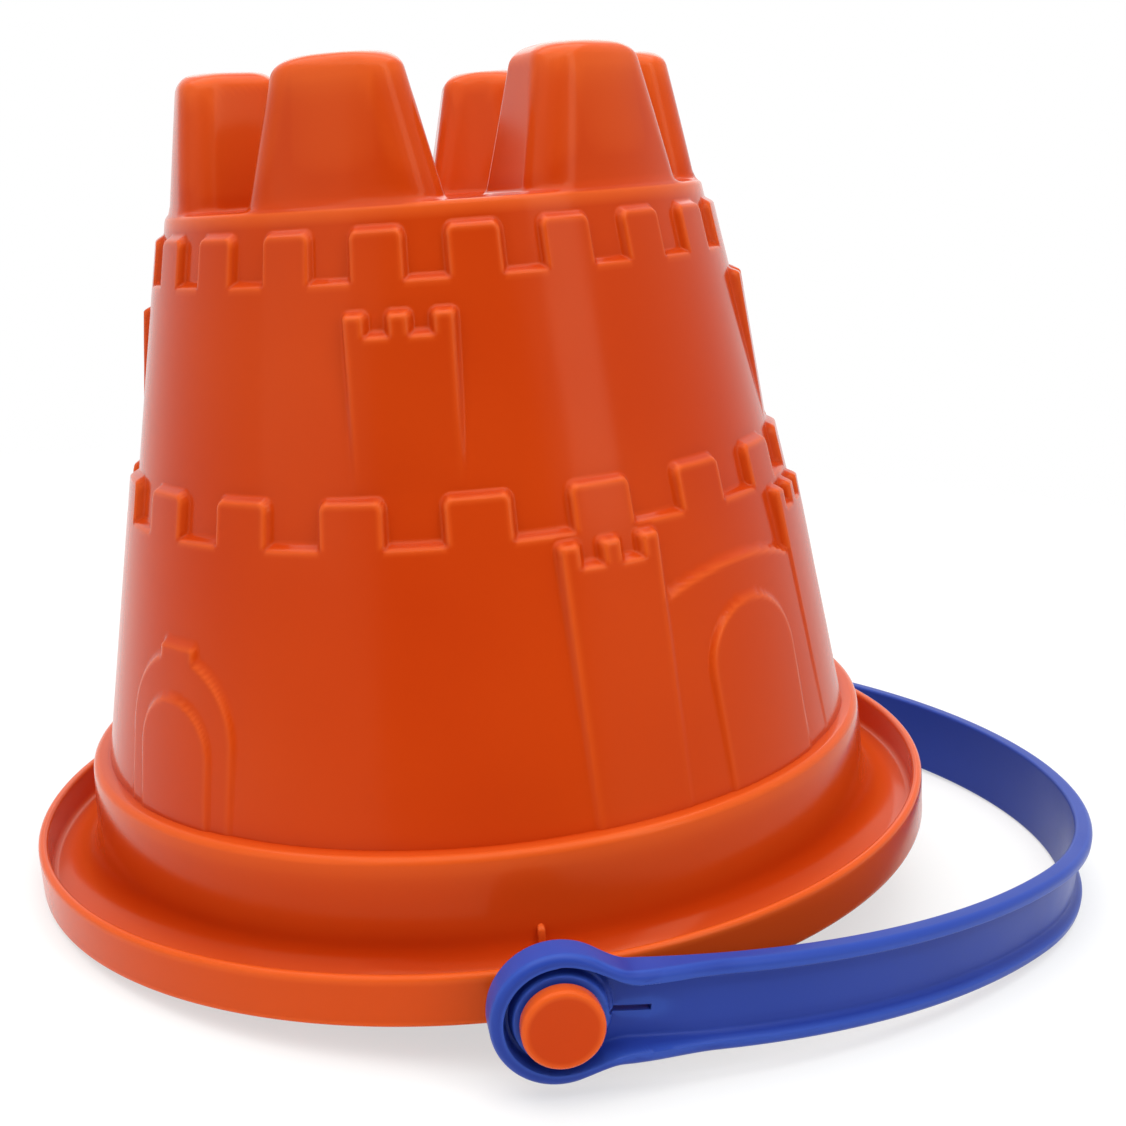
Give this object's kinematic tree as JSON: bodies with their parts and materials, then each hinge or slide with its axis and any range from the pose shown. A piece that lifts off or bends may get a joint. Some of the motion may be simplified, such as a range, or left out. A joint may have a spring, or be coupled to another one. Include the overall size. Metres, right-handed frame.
{
  "type": "castle sand bucket",
  "caption": "Castle-shaped sand bucket, mouth down: stepped walls with battlements, hollow turrets and a gutter rim, and a bail handle snapped onto studs so that it swings.",
  "frame": {"origin": "centre of the mouth, on the flat underside of the rim", "axes": "+Z runs from the mouth up to the turret tops, Y is the line of the two handle studs and +X is the side the handle lies on"},
  "size_m": [0.2414, 0.2268, 0.1926],
  "materials": {
    "orange_plastic": "glossy moulded",
    "blue_plastic": "glossy moulded"
  },
  "bodies": {
    "bucket": {"bucket": "orange_plastic"},
    "handle": {"handle": "blue_plastic"}
  },
  "joints": [
    {"name": "handle_swing", "type": "hinge", "parent": "bucket", "child": "handle", "pos_m": [0, 0, 0.00485], "axis": [0, 1, 0], "range_deg": [-69, 229]}
  ]
}
